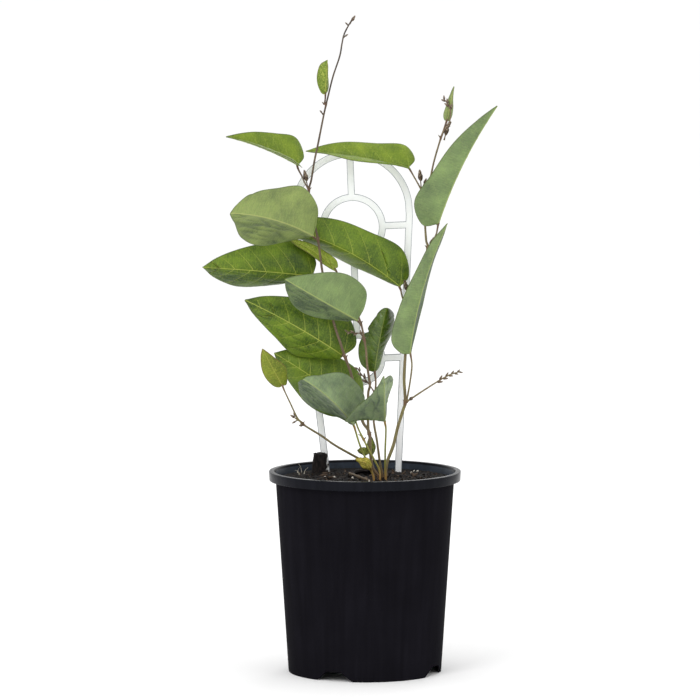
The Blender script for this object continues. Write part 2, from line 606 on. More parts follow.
def leaves():
    """Every leaf, and where each joins its stalk."""
    # colours, gloss, side veins, flecks, spread of the shades, sheen and coat
    looks = (
        ("leaf_upper_face", "728d22 2d460f 84942a a8b04c 46561f", 0.45, 0.95, 0.45, 0.7),
        ("leaf_underside", "8ca465 43533c 8f9f5e 98a662 5d6a45", 0.6, 0.14, 0.3, 0.95, 0.1),
        ("leaf_upper_face_sunny", "809526 46620f 95a33a a6b24a 4c591f", 0.45, 0.5, 0.4, 0.7),
        ("leaf_underside_pale", "9dae62 4b5b3c 9aa660 a8b06a 5d6a45", 0.6, 0.14, 0.3, 0.95, 0.1),
        ("leaf_underside_dusty", "93a877 47584a 8f9f66 98a66a 5d6a4c", 0.6, 0.14, 0.3, 0.95, 0.15),
        ("leaf_upper_face_waxy", "627f26 263b0e 6c7a30 8c9648 2e4218", 0.26, 0.5, 0.3, 0.7, 0.0, 0.35),
        ("young_leaf_face", "808c22 4c5c16 949a36 93963a 6a5026", 0.5, 0.3, 0.6, 0.65),
        ("tender_leaf_face", "a0b03a 5c7420 b4bc58 a8ac4c 5e5a2c", 0.5, 0.3, 0.7, 0.6),
        ("withered_leaf_face", "bcae42 8a8530 cbbd62 bdae58 5c4a22", 0.7, 0.4, 0.6, 0.6),
        ("shrivelled_leaf_face", "83923a 323c17 8f9444 8c9048 4a3c1e", 0.6, 0.5, 0.6, 0.5),
    )
    upper, lower, sunny, pale, dusty, waxy, young, tender, dry, limp = (leaf_face(*look) for look in looks)
    # each pair is the face that a blade's halves turn towards their fold, and the one behind it
    green, bright, dark, low = (upper, lower), (sunny, pale), (waxy, lower), (upper, dusty)
    olive, fresh, greyish = (young, young), (tender, tender), (pale, pale)
    old, faded = (dry, dry), (limp, limp)
    blades = [
        ("leaf_top_left", (-61, 27, 461), (-126, 4, 488), (0, -2, 3),
         (-84, (14, 22, 19, 9), 0.03), (32, (24.5, 20, 14, 6), 0.05), 0.4, bright, {}),
        ("leaf_top_centre", (40, 27, 459), (-54, 44, 473), (0, -2, 2.5),
         (-97, (7, 19, 20, 7), 0.02), (40, (23.5, 19, 15.5, 8), 0.03), 0.4, bright, {}),
        ("leaf_big_left", (-47, 17, 397), (-121, -42, 422), (1, -4, 5),
         (-8, (27, 37, 29, 20), -0.03), (138, (14, 37, 35, 14), -0.05), 0.5, (upper, pale),
         {"wrinkles": (0.3, 2.0), "tones": (0.14, 0.08), "blunt": (0.5, 0.15)}),
        ("leaf_right_middle", (32, 26, 350), (-85, 32, 405.6), (3, 0, 8),
         (116, (6, 24, 25, 10), 0.02), (16, (29.5, 26, 23, 13), 0.02), 0.5, green,
         {"wrinkles": (0.3, 0.3), "tones": (0.06, 0.04)}),
        ("leaf_far_left", (-48, 34, 359), (-148, 8, 369), (0, -3, 1),
         (127, (5, 24, 29, 16), 0.02), (19, (30, 29, 22, 11), 0.03), 0.5, green,
         {"wrinkles": (0.9, 0.3), "tones": (-0.12, -0.02)}),
        ("leaf_centre", (-7, 6, 321), (-72, -48, 363), (0, -4, 0),
         (5, (28, 32, 25, 11), 0), (142, (9, 23, 23.5, 12), -0.04), 0.5, green,
         {"wrinkles": (0.2, 1.3), "tones": (0.1, -0.2)}),
        ("leaf_lower_left", (-20, 23, 287), (-109, 0, 340), (1, -2, 2),
         (163, (12, 25, 19, 10), -0.02), (22, (34, 31, 24, 12), 0.06), 0.5, green,
         {"wrinkles": (1.2, 0.5), "tones": (0.04, -0.08)}),
        ("leaf_low_back", (-12, 28, 240.6), (-83, 21, 289.6), (0, -3, 2),
         (150, (24, 28, 22, 10), 0.02), (30, (31, 31.5, 25, 13), 0.05), 0.5, green, {}),
        ("leaf_low_front", (-10, 2, 225), (-56, -40, 272), (2, -8, 3.5),
         (18, (25, 28, 25, 10), -0.03), (124, (8, 33, 32, 17), -0.05), 0.6, low,
         {"wrinkles": (0.7, 2.2), "tones": (0.14, -0.02), "blunt": (0.5, 0.3)}),
        ("leaf_low_right", (18, -8, 230), (17, -58, 276), (0, -2, 0),
         (57, (2, 5, 14, 11), 0), (186, (36, 27, 14, 5), -0.08), 0.6, low,
         {"wrinkles": (1.6, 2.0), "tones": (0.16, 0.2), "nibble": (0, 0.93, 8, 0.05)}),
        ("leaf_runner", (-75, -12, 263), (-93, -16, 297), (0, -3, 0),
         (162, (8, 10.5, 9.5, 5), 0), (24, (8, 11.5, 8, 3.5), 0.03), 0.2, olive, {}),
        ("leaf_small_dark", (9, 24, 272), (20, 20, 331), (-1, -3, 0),
         (156, (15.5, 19.5, 14.5, 8), 0), (57, (6, 11.5, 17.5, 16), -0.03), 0.5, dark,
         {"nibble": (0, 0.66, 2.6, 0.018), "blunt": (0.6, 0.5)}),
        ("leaf_upper_right", (67, 22, 408), (120, 5, 516), (-4, -4, 2),
         (104, (14, 22, 16, 7), 0.02), (208, (31.5, 25, 19.5, 9.5), 0.05), 0.4, green, {}),
        ("leaf_right", (41, 20, 289), (75, 10, 409), (-5, -4, 1),
         (79, (14, 20, 17, 8), 0.02), (221, (25, 22.5, 15, 9.5), 0), 0.4, green, {"tones": (-0.45, 0.1)}),
        ("leaf_narrow", (-27, 32, 366), (-69, 31, 393), (2, 0, 2),
         (-130, (5, 7, 6, 4), 0.02), (35, (8, 7, 6, 3.5), 0.02), 0.2, fresh, {}),
        ("leaf_vine_tip", (-36, 30, 526), (-34, 24, 557), (0, -2, 0),
         (161, (6, 9, 9, 6.5), 0.02), (68, (6.5, 6, 3.5, 1.5), 0), 0.2, fresh, {"tones": (-0.3, -0.3)}),
        ("leaf_shoot_tip", (75, 28, 502), (81, 22, 533), (0, -2, 0),
         (133, (6.5, 5, 4, 2), 0.03), (57, (6.5, 5, 2.5, 1), 0.03), 0.2, greyish, {}),
        ("leaf_withered", (5.5, 1.2, 186.6), (-8.5, -0.5, 195), (1, -3, 1),
         (150, (4.6, 6, 5, 3), 0), (40, (4.6, 6, 5, 3), 0), 0.8, old, {"wrinkles": (1.8, 1.8)}),
        ("leaf_crumpled", (6.3, 21.2, 197), (5.3, 22.7, 213), (0, 1, 0),
         (150, (4, 5.5, 4.5, 2.5), 0), (30, (3.5, 4.5, 4, 2), 0), 0.5, faded, {"wrinkles": (1.4, 1.4)}),
        ("leaf_crumpled_low", (2.6, 14, 198), (-7, 12.5, 201), (0, 0.5, 1),
         (160, (3, 4, 3.5, 2), 0), (20, (3, 4, 3, 2), 0), 0.4, faded, {"wrinkles": (1.4, 1.4)}),
    ]
    slots = {dark: "leaf_dark", faded: "leaf_dark", olive: "leaf_young", fresh: "leaf_young",
             greyish: "leaf_young", old: "leaf_withered"}
    for name, base, tip, bow, left, right, wave, faces, more in blades:
        blade(name, base, tip, bow, (left, right), wave, faces, slots.get(faces, "leaf_green"), **more)
    return [(Vector(row[1]), (Vector(row[2]) - Vector(row[1])).normalized()) for row in blades]


# Shoots and buds

@cache
def stem_tree():
    """A round stem along a path, as thick as the path's points say."""
    tree, given = new_tree("stem along its path", ("Sides", "Int"), ("Bark", "Material"))
    path = add(tree, "MeshToCurve", {"Mesh": given["Geometry"]})
    ring = add(tree, "CurvePrimitiveCircle", {"Resolution": given["Sides"], "Radius": 1.0})
    thick = add(tree, "InputNamedAttribute", {"Name": "thick"})
    swept = add(tree, "CurveToMesh", {
        "Curve": path, "Profile Curve": ring, "Scale": thick, "Fill Caps": True})
    return close_tree(tree, swept, given["Bark"])


def scaly_bud_tree():
    """Overlapping scales up a short axis, each turned by the golden angle from the last."""
    tree, given = new_tree("scales round a bud", ("Scale", "Object"), ("Count", "Int"),
                           ("Skin", "Material"))
    points = add(tree, "Points", {"Count": given["Count"]})
    index = add(tree, "InputIndex")
    share = add(tree, "Math", {0: index, 1: given["Count"]}, operation="DIVIDE")
    turn = add(tree, "Math", {0: index, 1: GOLDEN_ANGLE}, operation="MULTIPLY")
    rise = add(tree, "Math", {0: share, 1: 0.62}, operation="MULTIPLY")
    spot = add(tree, "CombineXYZ", {"Z": rise})
    lifted = add(tree, "SetPosition", {"Geometry": points, "Position": spot})
    tilt = add(tree, "MapRange", {"Value": share, "To Min": 0.55, "To Max": 0.08})
    euler = add(tree, "CombineXYZ", {"Y": tilt, "Z": turn})
    rotation = add(tree, "EulerToRotation", {0: euler})
    size = add(tree, "MapRange", {"Value": share, "To Min": 1.0, "To Max": 0.62})
    shape = add(tree, "ObjectInfo", {"Object": given["Scale"]}, "Geometry")
    scales = add(tree, "InstanceOnPoints", {
        "Points": lifted, "Instance": shape, "Rotation": rotation, "Scale": size})
    return close_tree(tree, scales, given["Skin"])


@cache
def placed_tree():
    """A copy of a shape on each point, along the point's own direction and to its own size."""
    tree, given = new_tree("shapes set on points", ("Shape", "Object"), ("Skin", "Material"))
    toward = add(tree, "InputNamedAttribute", {"Name": "toward"}, data_type="FLOAT_VECTOR")
    size = add(tree, "InputNamedAttribute", {"Name": "size"}, data_type="FLOAT_VECTOR")
    turn = add(tree, "AlignRotationToVector", {"Vector": toward}, axis="Z")
    shape = add(tree, "ObjectInfo", {"Object": given["Shape"]}, "Geometry")
    copies = add(tree, "InstanceOnPoints", {
        "Points": given["Geometry"], "Instance": shape, "Rotation": turn, "Scale": size})
    return close_tree(tree, copies, given["Skin"])


def bract_shape():
    """One scale of a bud, a small hollow pointed blade that stands off the axis."""
    bm = bmesh.new()
    tips = bm.verts.layers.float.new("tip")
    rows = []
    for height, half in BRACT:
        share = height / BRACT[-1][0]
        bulge = 0.1 + 0.16 * math.sin(math.pi * (0.12 + 0.8 * share))
        line = []
        for j in (-1, -0.5, 0, 0.5, 1):
            vert = bm.verts.new((bulge - 0.13 * j * j * (0.4 + half), half * j, height))
            vert[tips] = 0.8 * share + 0.2 * abs(j)
            line.append(vert)
        rows.append(line)
    for low, high in zip(rows, rows[1:]):
        for a, b, c, d in zip(low, low[1:], high[1:], high):
            bm.faces.new((a, b, c, d))
    bmesh.ops.recalc_face_normals(bm, faces=bm.faces)
    return thickened(mesh_of(bm), BRACT_THICKNESS, -1)


def points_mesh(spots):
    """A mesh of loose points with the direction and size of what stands on each."""
    mesh = bpy.data.meshes.new("spots")
    mesh.from_pydata([mm(*place) for place, _, _ in spots], [], [])
    toward = mesh.attributes.new("toward", "FLOAT_VECTOR", "POINT")
    size = mesh.attributes.new("size", "FLOAT_VECTOR", "POINT")
    for i, (_, direction, scale) in enumerate(spots):
        toward.data[i].vector = Vector(direction).normalized()
        size.data[i].vector = [part / 1000 for part in scale]
    return mesh


def path_mesh(stems, ripe, joints):
    """Every stem of a shoot as a line of points with thickness, ripeness of its bark and joints.

    Each stem is its points, first and last radius and whether it ends in a leaf.
    """
    places, lines, thick, tones, knots = [], [], [], [], []
    for number, (points, first, last, leafy) in enumerate(stems):
        path = smooth_path(points, STEM_STEP)
        lengths = [0.0]
        for a, b in zip(path, path[1:]):
            lengths.append(lengths[-1] + (b - a).length)
        start = len(places)
        for place, run in zip(path, lengths):
            left = lengths[-1] - run
            radius = SLIMMER * (first + (last - first) * run / lengths[-1])
            radius *= 1 + 0.07 * noise.noise(place / 5) + 0.05 * noise.noise(place / 1.7)
            knot = min(1, sum(math.exp(-(((place - joint).length / JOINT_REACH) ** 2)) for joint in joints))
            if number and run < 2 * JOINT_REACH:
                radius += SHOULDER * (1 - run / (2 * JOINT_REACH)) ** 2
            swollen = 0.0
            if leafy:
                swollen = min(1, max(0, 1.25 - left / PULVINUS)) * min(1, left / 1.2 + 0.35)
            places.append(mm(*place))
            thick.append((radius + JOINT_SWELL * knot + PULVINUS_SWELL * swollen) / 1000)
            tones.append(min(1, max(0, ripe(place, number) + 0.25 * swollen)))
            foot = math.exp(-(((place.z - SOIL_TOP) / ROOT_COLLAR) ** 2))
            knots.append(max(knot, 0.8 * swollen, foot))
        lines += [(j, j + 1) for j in range(start, len(places) - 1)]
    mesh = bpy.data.meshes.new("paths")
    mesh.from_pydata(places, lines, [])
    for label, values in (("thick", thick), ("tone", tones), ("joint", knots)):
        mesh.attributes.new(label, "FLOAT", "POINT").data.foreach_set("value", values)
    return mesh


def raceme_buds(points, first, count, length, width):
    """Buds in two rows along the last part of a twig, smaller towards its end."""
    path = smooth_path(points, 1)
    for i in range(count):
        share = first + (1 - first) * i / (count - 1)
        place = min(round(share * (len(path) - 1)), len(path) - 2)
        ahead = (path[place + 1] - path[place]).normalized()
        side = ahead.cross(Vector((0, 1, 0))).normalized()
        shrink = 1 - 0.4 * i / count
        yield path[place], ahead + side * (0.6 if i % 2 else -0.6), length * shrink, width * shrink


def rooted(x, y, *rest):
    """A stem's points: straight up out of the mix at x, y and then on through the rest."""
    return [(x, y, SOIL_TOP - ROOT_DEPTH), (x, y, SOIL_TOP - 5), (x, y, SOIL_TOP + 3), *rest]


def shoot_plans(bark, olive):
    """Each shoot's stems, skin, single buds, spikes of buds, slot and how ripe its bark is.

    A stem is its points and its first and last radius. A twig is its ends and the length and
    width of the bud on it. A spike is its stem, where on it the buds start, and their number,
    length and width. Bark is ripe from 0, olive, to 1, dark brown.
    """
    tall = [
        (rooted(12.5, 16, (7, 16, 185), (5, 16, 199), (4, 17, 217), (-2, 17, 227), (-7, 17, 247),
                (-13, 17, 272), (-18, 17, 286), (-22, 17, 298), (-29, 19, 320), (-36, 22, 352),
                (-39, 24, 365), (-43, 26, 394), (-50, 29, 425), (-51, 30, 439), (-49, 31, 447),
                (-46, 30.5, 465), (-43, 31, 479), (-37, 31.5, 509), (-33, 31, 526), (-29, 30, 542),
                (-23, 30, 560), (-21, 30, 571), (-19, 30, 580), (-15, 30, 588), (-12, 30, 593)),
         1.9, 0.8),
        ([(4, 17, 215), (3, 17, 223), (3, 17, 252), (4.5, 16, 261), (2, 16, 279), (1, 16, 293),
          (-1, 16, 305), (-4, 17, 318), (-12, 22, 338), (-22, 28, 352), (-25, 31, 360),
          (-25.9, 31.4, 363.4)], 1.6, 0.9),
        ([(-51, 30, 438), (-55, 29, 445), (-57, 28, 450), (-60.6, 27.2, 457), (-61.6, 27, 460)],
         0.9, 0.9),
        ([(-43, 26, 393), (-45, 22, 394), (-46.8, 17.8, 396.1)], 1.0, 0.9),
        ([(-17.7, 16.6, 285.8), (-19.7, 22.3, 286.8)], 1.1, 0.9),
        ([(-37, 22, 354), (-42, 27, 355.5), (-47.4, 33.4, 358.4)], 1.0, 0.9),
        ([(-4, 17, 317), (-5, 12, 318), (-6.7, 6.9, 320.4)], 1.0, 0.9),
        ([(-37, 32, 516), (-36.2, 31, 521), (-36, 30.2, 525.2)], 0.8, 0.8),
        ([(-1, 16, 302), (-4, 13, 308), (-11, 11, 309), (-17, 10, 310)], 0.7, 0.6),
    ]
    tall_twigs = [
        ((-52, 30, 440), (-53.4, 29, 447), 10.5, 5.2), ((-38, 32, 507), (-39.4, 31.3, 508.8), 3, 2),
        ((-20, 30, 577), (-18, 29.5, 578.4), 3.5, 2), ((-15, 30, 588), (-16, 30, 589), 3, 1.8),
        ((-14, 30, 589.4), (-12, 30, 592.4), 6, 3.4),
    ]
    middle = [
        (rooted(16, 27, (14, 26, 187), (11, 25, 209), (8, 24, 228), (9, 24, 246), (10, 24, 262),
                (9.1, 24, 271)), 1.7, 1.0),
        ([(9, 24, 253), (3, 21, 262), (-3, 19, 270), (-7, 18, 276)], 0.8, 0.6),
    ]
    right = [
        (rooted(19, 19, (20, 20, 188), (26, 24, 204), (30, 28, 220), (35, 31, 236), (37, 31, 244),
                (36, 31, 266), (37, 31, 285), (39, 31, 314), (48, 32, 351), (57, 32, 383),
                (56, 32, 392), (55, 32, 407), (55, 32, 424), (61, 31, 455), (64, 30, 468),
                (69, 29, 485), (72, 28, 494), (74.4, 28, 501)), 2.1, 0.9),
        ([(38, 31, 243), (41, 27, 260), (43, 23, 277), (41.9, 20.4, 287.4)], 1.1, 0.9),
        ([(57, 32, 385), (61, 28, 390), (65, 24.5, 398), (66.7, 22.6, 406.6)], 1.0, 0.9),
        ([(55, 32, 428), (51, 31, 439), (45, 29, 450), (40.4, 27.2, 458)], 0.9, 0.9),
        ([(42, 31, 327), (36, 29, 336), (33.7, 27, 342), (32.9, 26.6, 346.4)], 0.9, 0.9),
        ([(37, 31, 243), (44, 28, 248), (54, 25, 255), (69, 21, 265), (78, 19, 270),
          (87, 17, 273)], 1.1, 0.7),
        ([(69, 29, 486), (73, 25, 494), (77.5, 23, 503), (77, 21.5, 514), (71.5, 21, 522)],
         0.8, 0.6),
    ]
    right_twigs = [
        ((51.5, 31, 439), (50.8, 30, 447), 10.5, 5.4), ((51.5, 31, 438), (54, 29, 444), 6, 3.2),
        ((57, 32, 383), (59.5, 30, 388), 9, 4), ((41.5, 31.3, 334), (38.4, 23, 347), 12.5, 5.4),
        ((71.8, 28, 492), (74, 26, 495), 9, 4.4), ((72.2, 28, 484), (73.4, 26.4, 489), 12, 5),
        ((37, 31, 243), (41, 29, 246), 5, 4),
    ]
    runner = [
        (rooted(8, 24, (4, 22, 183.5), (-1, 20, 190), (-9, 16, 195), (-27, 9, 206), (-39, 4, 215),
                (-54, -2, 225), (-57, -3, 228), (-62, -5, 232)), 1.7, 1.1),
        ([(-57, -3, 227), (-62, -6, 234), (-68, -9, 247), (-73, -11, 258), (-74.6, -11.9, 262.2)],
         0.9, 0.8),
    ]
    runner_twigs = [
        ((-61, -5, 231), (-64, -5, 233), 5, 2.8), ((-61, -5, 231), (-63, -7, 230), 5, 2.4),
        ((-61, -5, 231), (-63, -3, 234), 5, 2.4), ((-55, -2, 226), (-57, -4, 226), 4, 3.4),
    ]
    back_stalk = [
        (rooted(14, 8, (13, 9, 184), (9, 9, 192), (2, 9, 205), (-1, 11, 211), (-7, 17, 223),
                (-11.7, 27.2, 239.5)), 1.3, 0.9),
        ([(-1, 11, 211), (-4, 10, 215), (-6, 9, 216)], 0.9, 0.5),
    ]
    front_stalk = [
        (rooted(8, 8, (5, 7, 185), (-1, 6, 198), (-5, 4, 208), (-8, 3, 218), (-9.7, 2.05, 224.0)),
         1.3, 1.0),
        ([(5, 7, 184), (5.5, 4.5, 185), (5.7, 2.6, 185.8)], 0.9, 0.7),
    ]
    side_stalk = [
        (rooted(19, 9, (18.5, 6, 190), (18.5, 0, 204), (19, -4, 217), (19, -6, 224),
                (18.1, -7.9, 228.9)), 1.2, 1.0),
    ]
    return {
        "vine_tall": (tall, bark, tall_twigs, [(8, 0.3, 5, 5, 2.6)], "vine_stem", 0.62),
        "vine_middle": (middle, bark, (), [(1, 0.3, 6, 6.5, 3.4)], "vine_stem", 0.6),
        "vine_right": (right, bark, right_twigs, [(5, 0.6, 9, 6, 2.9), (6, 0.7, 5, 6, 3.4)],
                       "vine_stem", 0.32),
        "runner_left": (runner, bark, runner_twigs, (), "vine_stem", 0.38),
        "stalk_back": (back_stalk, olive, (), (), "green_stalk", 0.2),
        "stalk_front": (front_stalk, olive, (), (), "green_stalk", 0.15),
        "stalk_side": (side_stalk, olive, (), (), "green_stalk", 0.2),
    }


def plant_shoots(plans, scale_skin, leaf_bases):
    """Each shoot with its joints and stalks, and the scaly buds that it carries."""
    bract = new_object("bract_shape", bract_shape())
    bud = new_object("bud_shape", grow(scaly_bud_tree(), bpy.data.meshes.new("none"),
                                       Scale=bract, Count=BUD_SCALES, Skin=scale_skin))
    for name, (stems, skin, twigs, racemes, slot, ripeness) in plans.items():
        shown, buds = [], []
        for points, first, last in stems:
            end = Vector(points[-1])
            near = [leaf for leaf in leaf_bases if (leaf[0] - end).length < LEAF_NEAR]
            if near:
                foot, ahead = near[0]
                points = [*points, tuple(foot + ahead * INTO_LEAF)]
            shown.append((points, first, last, bool(near)))
        for start, end, length, width in twigs:
            shown.append(([start, end], TWIG_RADIUS, TWIG_RADIUS, False))
            buds.append((end, Vector(end) - Vector(start), (width, width, length)))
        for stem, first, count, length, width in racemes:
            for place, ahead, long, wide in raceme_buds(stems[stem][0], first, count, length, width):
                buds.append((place, ahead, (wide, wide, long)))
        joints = [Vector(points[0]) for points, _, _ in stems[1:]]

        def ripe(place, number, base=ripeness, leafy=[row[3] for row in shown]):
            """How ripe the bark is: more with height, and less on leaf stalks."""
            climb = min(1, max(0, (place.z - SOIL_TOP) / 90))
            stalk = 0.8 if leafy[number] else 1
            return stalk * base * (0.4 + 0.6 * climb) + 0.3 * max(0, place.z - 330) / 270

        # a pair of small pointed stipules at each joint, and buds where the shoot carries them
        luck = random.Random(name)
        for joint in joints:
            for side in (-1, 1):
                lean = Vector((side, luck.uniform(-0.6, 0.6), 1.2))
                buds.append((joint + lean * 0.5, lean, STIPULE))
        stem_mesh = grow(stem_tree(), path_mesh(shown, ripe, joints), Sides=STEM_SIDES, Bark=skin)
        piece(name + "_stems", stem_mesh, slot, name)
        if buds:
            mesh = grow(placed_tree(), points_mesh(buds), Shape=bud, Skin=scale_skin)
            piece(name + "_buds", mesh, slot)
    for ob in (bract, bud):
        bpy.data.objects.remove(ob, do_unlink=True)


# The pot

def wall_radius(height):
    """Outside of the pot's sloping wall."""
    return FOOT_RADIUS + (BODY_TOP_RADIUS - FOOT_RADIUS) * height / FLARE_START


def around(angle, radius, height):
    """A place at an angle in degrees from the front, towards +X."""
    turn = math.radians(angle)
    return mm(radius * math.sin(turn), -radius * math.cos(turn), height)


def foot_height(angle):
    """How high the wall's foot stands off the ground: more in a drain notch with eased corners."""
    total = 0
    for ease in NOTCH_EASE:
        off = min(abs((angle + ease - middle + 180) % 360 - 180) for middle in NOTCH_ANGLES)
        share = (NOTCH_FOOT_HALF_ANGLE - off) / (NOTCH_FOOT_HALF_ANGLE - NOTCH_TOP_HALF_ANGLE)
        total += NOTCH_HEIGHT * min(1, max(0, share))
    return total / len(NOTCH_EASE)


def eased(radius, height, ease, first, last):
    """Points of a profile round an eased corner, from one direction in degrees to another."""
    turns = [math.radians(first + (last - first) * i / CORNER_STEPS) for i in range(CORNER_STEPS + 1)]
    return [(radius + ease * math.cos(t), height + ease * math.sin(t)) for t in turns]


def pot_profile(low):
    """The wall's profile (radius, height) where its foot stands at height low, as a closed line."""
    lip = POT_HEIGHT - RIM_THICKNESS
    skirt = POT_HEIGHT - RIM_SKIRT_DROP
    skirt_radius = RIM_RADIUS - SKIRT_TAPER
    floor_top = FLOOR_HEIGHT + WALL
    ease = WALL / 4
    heights = [150, 115, 80, 50, 30, 20, 14]
    foot = [low + (12 - low) * share for share in (1, 0.7, 0.4, 0.15)]
    line = eased(RIM_MOUTH_RADIUS + RIM_EASE, POT_HEIGHT - RIM_EASE, RIM_EASE, 180, 90)
    line += eased(RIM_RADIUS - RIM_EASE, POT_HEIGHT - RIM_EASE, RIM_EASE, 90, 0)
    line += [(RIM_RADIUS - SKIRT_TAPER / 2, POT_HEIGHT - RIM_SKIRT_DROP / 2)]
    line += eased(skirt_radius - ease, skirt + ease, ease, 0, -90)
    line += eased(skirt_radius - WALL + ease, skirt + ease, ease, -90, -180)
    line += [(RIM_RADIUS - WALL, lip - ease), (RIM_RADIUS - WALL - ease, lip),
             (RIM_MOUTH_RADIUS + RIM_EASE, lip)]
    line += [(BODY_TOP_RADIUS + FLARE_STEP, FLARE_END), (BODY_TOP_RADIUS, FLARE_START)]
    line += [(wall_radius(height), height) for height in [*heights, *foot]]
    line += eased(wall_radius(low) - ease, low + ease, ease, 0, -90)
    line += eased(wall_radius(low) - WALL + ease, low + ease, ease, -90, -180)
    line += [(wall_radius(FLOOR_HEIGHT) - WALL, FLOOR_HEIGHT), (FLOOR_EDGE, FLOOR_HEIGHT), (0, FLOOR_HEIGHT)]
    line += [(0, floor_top), (FLOOR_EDGE, floor_top), (wall_radius(floor_top) - WALL, floor_top)]
    line += [(wall_radius(height) - WALL, height) for height in reversed(heights)]
    line += [(BODY_TOP_RADIUS - WALL, FLARE_START), (BODY_TOP_RADIUS + FLARE_STEP - WALL, FLARE_END),
             (RIM_MOUTH_RADIUS - RIM_EASE, lip)]
    return line


def pot(*skins):
    """The moulded pot: turned-down rim, tapered wall, notched foot and a raised floor with drain holes."""
    angles = {float(angle) for angle in range(0, 360, POT_STEP)}
    for middle in NOTCH_ANGLES:
        for half in (NOTCH_FOOT_HALF_ANGLE, NOTCH_TOP_HALF_ANGLE):
            for side in (-1, 1):
                angles |= {round((middle + side * half + ease) % 360, 2) for ease in NOTCH_EASE}
    bm = bmesh.new()
    columns = [
        [bm.verts.new(around(angle, radius, height)) for radius, height in pot_profile(foot_height(angle))]
        for angle in sorted(angles)
    ]
    for one, other in zip(columns, columns[1:] + columns[:1]):
        join_rings(bm, one, other)
    bmesh.ops.remove_doubles(bm, verts=bm.verts, dist=0.000002)
    bmesh.ops.delete(bm, geom=[edge for edge in bm.edges if not edge.link_faces], context="EDGES")
    bmesh.ops.recalc_face_normals(bm, faces=bm.faces)
    # the skins are those of the wall, the rim and the inside
    for face in bm.faces:
        centre = face.calc_center_median()
        height, out = centre.z * 1000, math.hypot(centre.x - POT_AXIS_X, centre.y) * 1000
        above_floor = FLOOR_HEIGHT + WALL < height < POT_HEIGHT - RIM_THICKNESS
        inside = above_floor and out < wall_radius(height) - WALL / 4
        face.material_index = 2 if inside else int(height > POT_HEIGHT - RIM_SKIRT_DROP - 0.1)
    mesh = mesh_of(bm, *skins)
    drills = bmesh.new()
    radius = DRAIN_HOLE_RADIUS / 1000
    for angle in NOTCH_ANGLES:
        move = Matrix.Translation(around(angle, DRAIN_RING_RADIUS, FLOOR_HEIGHT))
        bmesh.ops.create_cone(drills, cap_ends=True, segments=32, depth=DRILL_DEPTH / 1000,
                              radius1=radius, radius2=radius, matrix=move)
    mesh = cut_or_joined(mesh, [mesh_of(drills)], "DIFFERENCE")
    piece("nursery_pot", mesh, "black_plastic", "pot", smooth=35)


def cut_or_joined(mesh, others, operation):
    """A mesh with others cut out of it or joined to it."""
    group = bpy.data.collections.new("others")
    bpy.context.scene.collection.children.link(group)
    for other in others:
        group.objects.link(bpy.data.objects.new("other", other))
    holder = new_object("whole", mesh)
    change = holder.modifiers.new("change", "BOOLEAN")
    change.operation, change.operand_type, change.solver = operation, "COLLECTION", "MANIFOLD"
    change.collection = group
    found = evaluated(holder)
    for ob in list(group.objects):
        bpy.data.objects.remove(ob, do_unlink=True)
    bpy.data.collections.remove(group)
    return found


# The mix and what lies in it

def mix_height(x, y):
    """Height of the mix at a place: dished, with lumps that fade out at the wall."""
    radius = math.hypot(x, y)
    fade = min(1, max(0, (SOIL_RADIUS - radius) / 5))
    lumps = sum(rise * noise.noise(Vector((x / size, y / size, size))) for size, rise in SOIL_LUMPS)
    return SOIL_TOP + SOIL_DISH * (radius / SOIL_RADIUS) ** 2 + lumps * fade


def mix_top(bm, reach):
    """The crumbly top of the mix out to a radius, as rings of points round a middle one."""
    middle = bm.verts.new(mm(0, 0, mix_height(0, 0)))
    rings = []
    for i in range(1, SOIL_RINGS + 1):
        ring = []
        for j in range(SOIL_SECTORS):
            turn = 2 * math.pi * j / SOIL_SECTORS
            x, y = reach * i / SOIL_RINGS * math.cos(turn), reach * i / SOIL_RINGS * math.sin(turn)
            ring.append(bm.verts.new(mm(x, y, mix_height(x, y))))
        rings.append(ring)
    for a, b in zip(rings[0], rings[0][1:] + rings[0][:1]):
        bm.faces.new((middle, a, b))
    for one, other in zip(rings, rings[1:]):
        join_rings(bm, one, other)
    return rings


def join_rings(bm, one, other):
    """Faces between two closed rows of points."""
    for a, b, c, d in zip(one, other, other[1:] + other[:1], one[1:] + one[:1]):
        bm.faces.new((a, b, c, d))


def grain_shape(name, size, rough, seed, fineness=1):
    """A rough grain about one unit long that geometry trees strew."""
    bm = bmesh.new()
    bmesh.ops.create_icosphere(bm, subdivisions=fineness, radius=0.5)
    for vert in bm.verts:
        push = 1 + rough * noise.noise(vert.co * 2.6 + Vector((seed, 0, 0)))
        vert.co = Vector(part * share * push for part, share in zip(vert.co, size))
    return new_object(name, mesh_of(bm))


@cache
def strewn_tree():
    """Grains strewn over a surface, each with its own turn, size and tone."""
    tree, given = new_tree(
        "grains strewn on the mix", ("Grain", "Object"), ("Density", "Float"), ("Smallest", "Float"),
        ("Largest", "Float"), ("Seed", "Int"), ("Skin", "Material"))
    spots = add(tree, "DistributePointsOnFaces", {
        "Mesh": given["Geometry"], 4: given["Density"], "Seed": given["Seed"]})
    turn = add(tree, "RandomValue", {0: (-0.8, -0.8, 0), 1: (0.8, 0.8, 2 * math.pi), 8: given["Seed"]},
               data_type="FLOAT_VECTOR")
    rotation = add(tree, "EulerToRotation", {0: turn})
    size = add(tree, "RandomValue", {2: given["Smallest"], 3: given["Largest"], 8: given["Seed"]}, 1)
    shape = add(tree, "ObjectInfo", {"Object": given["Grain"]}, "Geometry")
    grains = add(tree, "InstanceOnPoints", {
        "Points": spots, "Instance": shape, "Rotation": rotation, "Scale": size})
    tone = add(tree, "RandomValue", {2: 0.0, 3: 0.55, 8: 3}, 1)
    toned = add(tree, "StoreNamedAttribute", {"Geometry": grains, "Name": "tone", "Value": tone},
                data_type="FLOAT", domain="INSTANCE")
    return close_tree(tree, toned, given["Skin"])


